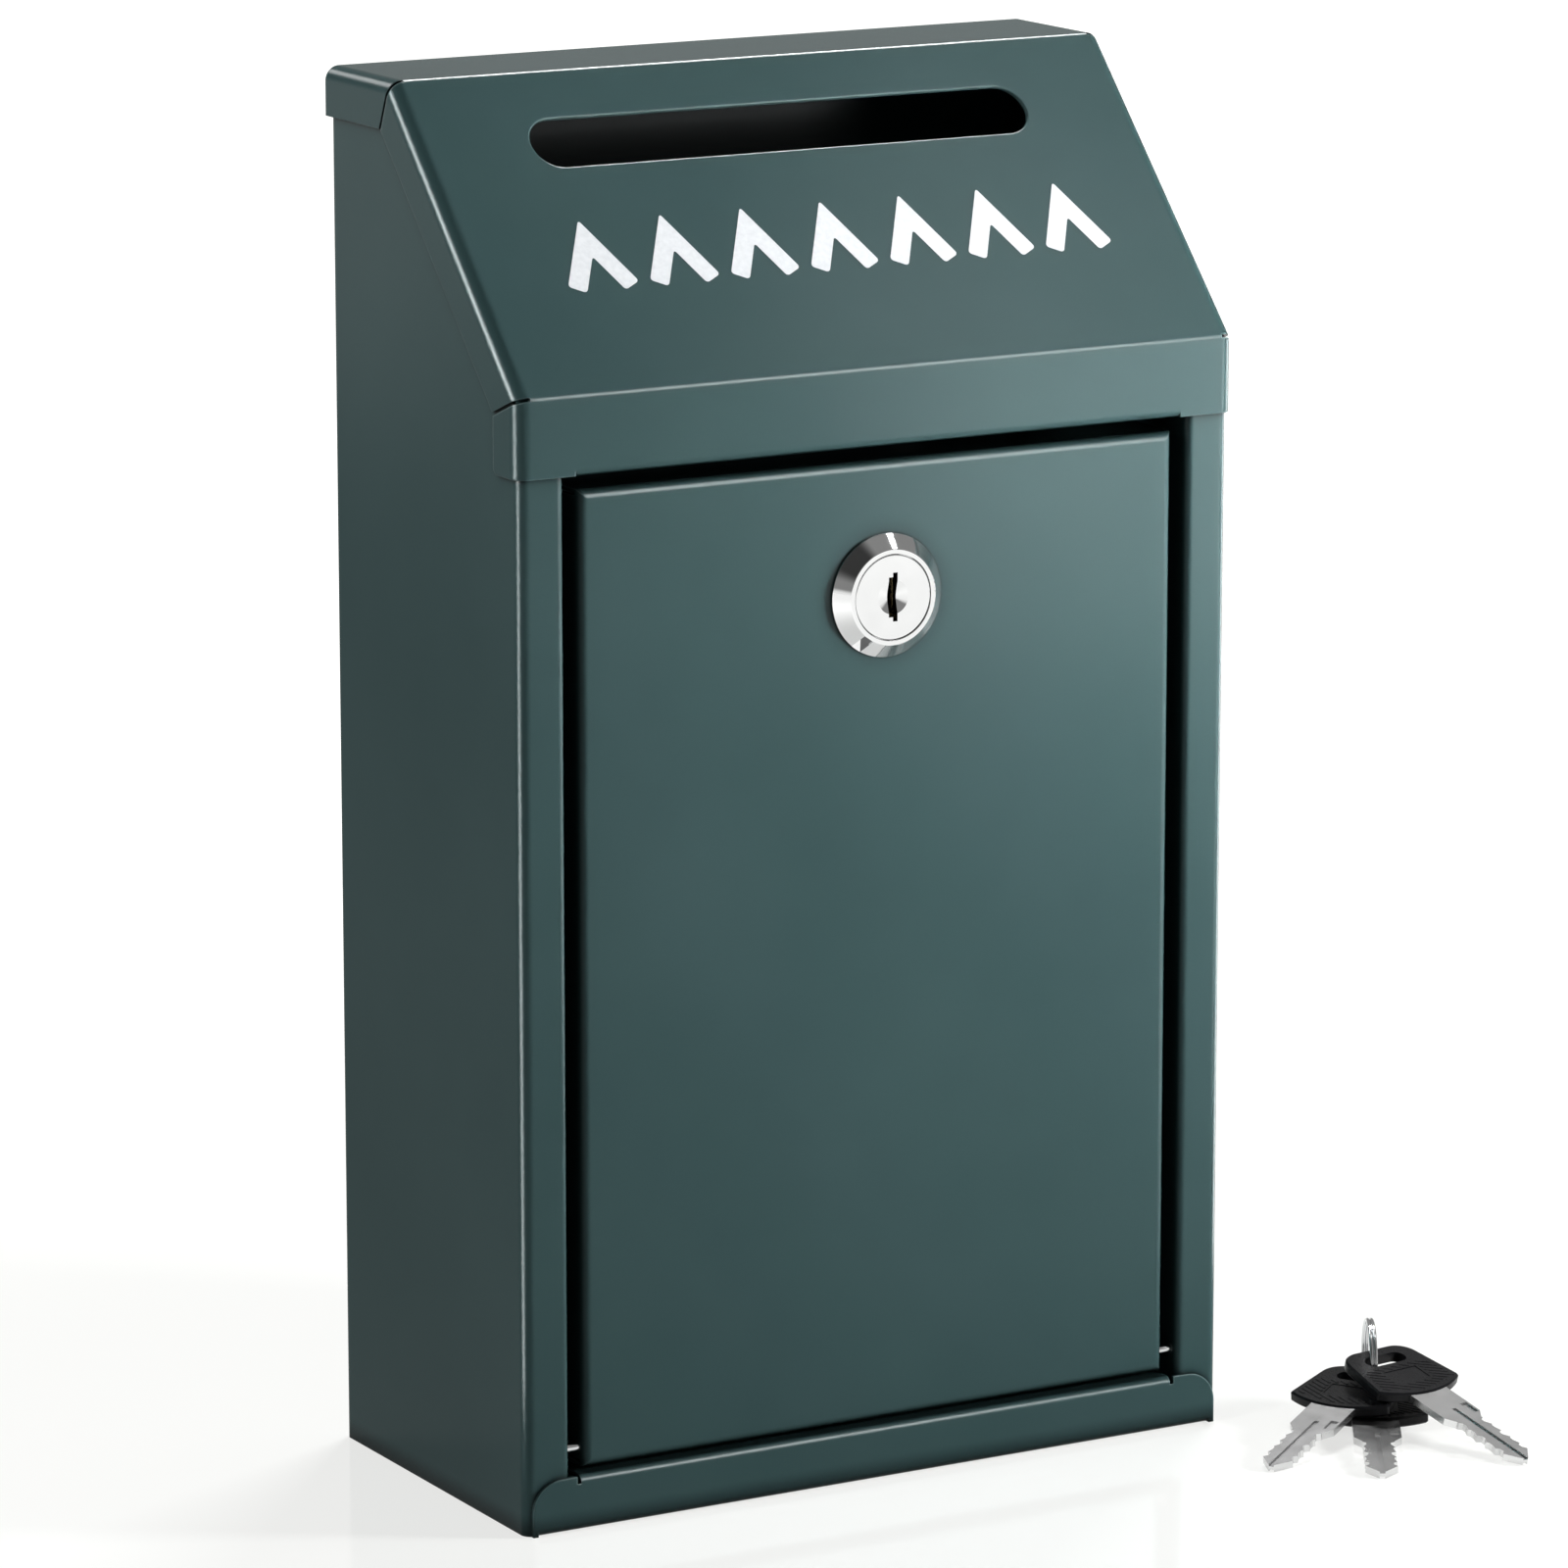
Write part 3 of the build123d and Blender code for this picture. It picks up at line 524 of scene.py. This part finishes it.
def makeRib():
    deselectAll()
    bpy.ops.mesh.primitive_cube_add(size=1, location=(0, 0, 0))
    rib = bpy.context.object
    rib.scale = (1, ribs["width"], ribs["proud"] + ribs["sunk"])
    bpy.ops.object.transform_apply(location=True, rotation=True, scale=True)
    bpy.ops.object.mode_set(mode="EDIT")
    bpy.ops.mesh.select_all(action="DESELECT")
    bpy.ops.object.mode_set(mode="OBJECT")
    # Its two long upper edges are rounded
    for edge in rib.data.edges:
        ends = [rib.data.vertices[index].co for index in edge.vertices]
        edge.select = all(end.z > 0 for end in ends) and abs(ends[0].x - ends[1].x) > 0.5
    bpy.ops.object.mode_set(mode="EDIT")
    bpy.ops.mesh.bevel(offset=ribs["proud"] * ribs["roundShare"], segments=2, affect="EDGES")
    bpy.ops.object.mode_set(mode="OBJECT")
    return rib


def makeRibs():
    rib = makeRib()
    lift = ribs["faceHeight"] + (ribs["proud"] - ribs["sunk"]) / 2
    slant, runs = ribRuns()
    turn = Matrix.Rotation(slant, 4, "Z")
    for keyName, key in keys.items():
        place = keyMatrix(key)
        copies = []
        for x, y, length in runs:
            local = Matrix.Translation((x, y, lift)) @ turn @ Matrix.Scale(length, 4, (1, 0, 0))
            twin = copyPiece(rib, place @ local)
            copies.append(settle(twin, "rib", "plastic"))
        piece = settle(joinPieces(copies), "key_ribs_" + keyName, "plastic")
        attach(piece, "key_" + keyName)
    bpy.data.objects.remove(rib)
    return len(runs)


print("ribs made on the key heads:", makeRibs(), "each")


# Pale floor


def seenDirectly(treeNodes, links):
    # One for rays from the camera, or by way of metal or glass
    path = treeNodes.new("ShaderNodeLightPath").outputs
    first = numberOf(treeNodes, links, "MAXIMUM", path["Is Camera Ray"], path["Is Glossy Ray"])
    return numberOf(treeNodes, links, "MAXIMUM", first, path["Is Transmission Ray"])


floorLook = {
    "size": 14.0,
    "gap": 0.00005,
    "colour": (0.38, 0.385, 0.376),
    "glowTint": (1.0, 1.0, 0.985),
    # The glow is lower near the object, a painted shade around it
    "glow": (0.66, 1.12),
    "glowRing": (0.14, 0.60),
    "gloss": 0.20,
    "roughness": 0.08,
    "cloth": (-0.42, 0.62, 0.0),
    "clothRing": (0.45, 1.05),
    "clothLevel": 0.25,
}


def makeFloor():
    look = floorLook
    deselectAll()
    bpy.ops.mesh.primitive_plane_add(size=look["size"], location=(0, 0, baseHeight - look["gap"]))
    floor = bpy.context.object
    floor.name = "floor"
    finish = bpy.data.materials.new("paleFloor")
    finish.use_nodes = True
    treeNodes, links = finish.node_tree.nodes, finish.node_tree.links
    treeNodes.remove(treeNodes["Principled BSDF"])
    output = treeNodes["Material Output"]
    point = objectPoint(treeNodes)
    body = treeNodes.new("ShaderNodeBsdfDiffuse")
    body.inputs["Color"].default_value = opaque(look["colour"])
    mirror = treeNodes.new("ShaderNodeBsdfGlossy")
    mirror.inputs["Color"].default_value = (1, 1, 1, 1)
    mirror.inputs["Roughness"].default_value = look["roughness"]
    # Only the camera sees the floor's gloss, so no lamp is thrown back up by it
    cameraRay = treeNodes.new("ShaderNodeLightPath").outputs["Is Camera Ray"]
    sheen = treeNodes.new("ShaderNodeMixShader")
    links.new(numberOf(treeNodes, links, "MULTIPLY", cameraRay, look["gloss"]), sheen.inputs["Fac"])
    # The floor's glow is lower near the object, a painted shade around it, and runs up to white away from
    # it
    reach = measureOf(treeNodes, links, "LENGTH", point, (0, 0, 0))
    nearShadeRing = ramp(treeNodes, links, reach, look["glowRing"], look["glow"], smooth=True)
    # A dark cloth behind on the left, which only reflections show
    fromCloth = measureOf(treeNodes, links, "DISTANCE", point, look["cloth"])
    cloth = ramp(treeNodes, links, fromCloth, look["clothRing"], (look["clothLevel"], 1.0), smooth=True)
    shownCloth = numberOf(treeNodes, links, "MAXIMUM", cameraRay, cloth)
    level = numberOf(treeNodes, links, "MULTIPLY", nearShadeRing, shownCloth)
    glow = treeNodes.new("ShaderNodeEmission")
    glow.inputs["Color"].default_value = opaque(look["glowTint"])
    seen = seenDirectly(treeNodes, links)
    links.new(numberOf(treeNodes, links, "MULTIPLY", seen, level), glow.inputs["Strength"])
    total = treeNodes.new("ShaderNodeAddShader")
    links.new(body.outputs["BSDF"], sheen.inputs[1])
    links.new(mirror.outputs["BSDF"], sheen.inputs[2])
    links.new(sheen.outputs["Shader"], total.inputs[0])
    links.new(glow.outputs["Emission"], total.inputs[1])
    links.new(total.outputs["Shader"], output.inputs["Surface"])
    floor.data.materials.append(finish)


makeFloor()
print("floor laid")


# Room and lamps

roomLight = {
    "ambient": 0.09,
    "seen": 1.0,
    "tint": (1.0, 1.0, 0.985),
    "darkCard": (-0.47, -0.48, 0.74),
    "cardEdge": (0.83, 0.955),
    "cardLevel": 0.16,
    "roofEdge": (0.0, 0.11),
    "roofLevel": 0.27,
}


def makeRoom():
    look = roomLight
    world = bpy.data.worlds.new("studioRoom")
    bpy.context.scene.world = world
    world.use_nodes = True
    treeNodes, links = world.node_tree.nodes, world.node_tree.links
    treeNodes.clear()
    output = treeNodes.new("ShaderNodeOutputWorld")
    soft = treeNodes.new("ShaderNodeBackground")
    soft.inputs["Color"].default_value = opaque(look["tint"])
    soft.inputs["Strength"].default_value = look["ambient"]
    bright = treeNodes.new("ShaderNodeBackground")
    bright.inputs["Color"].default_value = opaque(look["tint"])
    # A dark card up in front on the left, for the polished metal to show
    way = treeNodes.new("ShaderNodeTexCoord").outputs["Generated"]
    towards = measureOf(treeNodes, links, "DOT_PRODUCT", way, Vector(look["darkCard"]).normalized())
    card = ramp(treeNodes, links, towards, look["cardEdge"], (look["seen"], look["cardLevel"]), smooth=True)
    # The white backdrop ends a little above the horizon, under a grey roof
    parts = treeNodes.new("ShaderNodeSeparateXYZ")
    links.new(way, parts.inputs["Vector"])
    height = parts.outputs["Z"]
    roof = ramp(treeNodes, links, height, look["roofEdge"], (1.0, look["roofLevel"]), smooth=True)
    level = numberOf(treeNodes, links, "MULTIPLY", card, roof)
    # The camera sees plain white all round
    cameraRay = treeNodes.new("ShaderNodeLightPath").outputs["Is Camera Ray"]
    links.new(numberOf(treeNodes, links, "MAXIMUM", cameraRay, level), bright.inputs["Strength"])
    mix = treeNodes.new("ShaderNodeMixShader")
    links.new(seenDirectly(treeNodes, links), mix.inputs["Fac"])
    links.new(soft.outputs["Background"], mix.inputs[1])
    links.new(bright.outputs["Background"], mix.inputs[2])
    links.new(mix.outputs["Shader"], output.inputs["Surface"])


softLamps = {
    "backRight": {
        "spot": (0.40, 0.34, 0.76), "aim": (0.02, -0.03, 0.15),
        "size": (0.30, 0.14), "power": 6.0,
    },
    "frontKey": {
        "spot": (0.50, -0.42, 0.055), "aim": (0.06, -0.08, 0.09),
        "size": (0.10, 0.10), "power": 1.75, "spread": 80, "glossy": False,
    },
    "overhead": {
        "spot": (0.38, -0.22, 0.66), "aim": (0.08, -0.06, 0.12),
        "size": (0.14, 0.14), "power": 0.4,
    },
    "leftSide": {
        "spot": (-0.70, -0.10, 0.45), "aim": (-0.086, -0.04, -0.02),
        "size": (0.20, 0.20), "power": 3.2, "glossy": False,
    },
}
# Lamps that only the coated sheet's gloss shows, one for each way that it bends and one
# for the door. Those with a narrow spread hang where the flat faces next to their bend
# mirror them from straight ahead or not at all, since a coat mirrors a lamp strongly at a
# low angle.
shineStrips = {
    "crestStrip": {
        "spot": (0.36, 0.31, 0.72), "aim": (0.0, -0.03, 0.15),
        "size": (0.40, 0.12), "power": 14.0,
    },
    "skirtStrip": {
        "spot": (-0.194, -0.018, 0.1527), "aim": (-0.0858, -0.0582, 0.120),
        "size": (0.13, 0.13), "power": 0.20, "spread": 32,
    },
    "backEdgeStrip": {
        "spot": (-0.21, 0.50, 0.43), "aim": (-0.086, -0.02, 0.15),
        "size": (0.20, 0.14), "power": 0.8,
    },
    "foldStrip": {
        "spot": (0.40, -0.72, 0.34), "aim": (0.03, -0.085, 0.03),
        "size": (0.30, 0.50), "power": 27.0,
    },
    "leftStrip": {
        "spot": (-0.204, -0.073, -0.056), "aim": (-0.085, -0.0835, -0.030),
        "size": (0.07, 0.268), "power": 0.17, "spread": 36,
    },
    "rightStrip": {
        "spot": (0.2325, -0.0755, -0.062), "aim": (0.0835, -0.083, -0.030),
        "size": (0.08, 0.32), "power": 0.07, "spread": 36,
    },
    "doorEdgeStrip": {
        "spot": (0.300, -0.280, -0.075), "aim": (0.0755, -0.0845, -0.010),
        "size": (0.06, 0.32), "power": 1.2,
    },
    "doorSheen": {
        "spot": (0.46, -0.62, -0.01), "aim": (0.05, -0.085, 0.06),
        "size": (0.26, 0.18), "power": 2.1,
    },
}


def makeLamps():
    coatedSheet = bpy.data.collections.new("coatedSheet")
    for member in finishOf["powder"]:
        coatedSheet.objects.link(nodes[member])
    for lampName, lamp in (softLamps | shineStrips).items():
        data = bpy.data.lights.new(lampName, "AREA")
        data.shape = "RECTANGLE"
        data.size, data.size_y = lamp["size"]
        data.energy = lamp["power"]
        if "spread" in lamp:
            data.spread = math.radians(lamp["spread"])
        holder = bpy.data.objects.new(lampName, data)
        bpy.context.scene.collection.objects.link(holder)
        holder.visible_glossy = lamp.get("glossy", True)
        if lampName in shineStrips:
            holder.visible_diffuse = False
            holder.light_linking.receiver_collection = coatedSheet
        way = Vector(lamp["aim"]) - Vector(lamp["spot"])
        holder.location = lamp["spot"]
        holder.rotation_euler = way.to_track_quat("-Z", "Y").to_euler()


makeRoom()
makeLamps()
print("lamps set")


# Camera, at the photograph's viewing angle

view = {
    "spot": (-0.81473, -1.47117, 0.35325),
    "yaw": 29.703,
    "pitch": 12.313,
    "lens": 179.69,
    "sensor": 36.0,
    "near": 0.05,
    "far": 60,
}


def makeCamera():
    data = bpy.data.cameras.new("photoCamera")
    data.lens = view["lens"]
    data.sensor_width = view["sensor"]
    data.clip_start = view["near"]
    data.clip_end = view["far"]
    holder = bpy.data.objects.new("photoCamera", data)
    bpy.context.scene.collection.objects.link(holder)
    holder.location = view["spot"]
    holder.rotation_euler = (math.radians(90 - view["pitch"]), 0, math.radians(-view["yaw"]))
    bpy.context.scene.camera = holder


makeCamera()
bpy.context.scene.view_settings.view_transform = "Standard"
print("camera set")
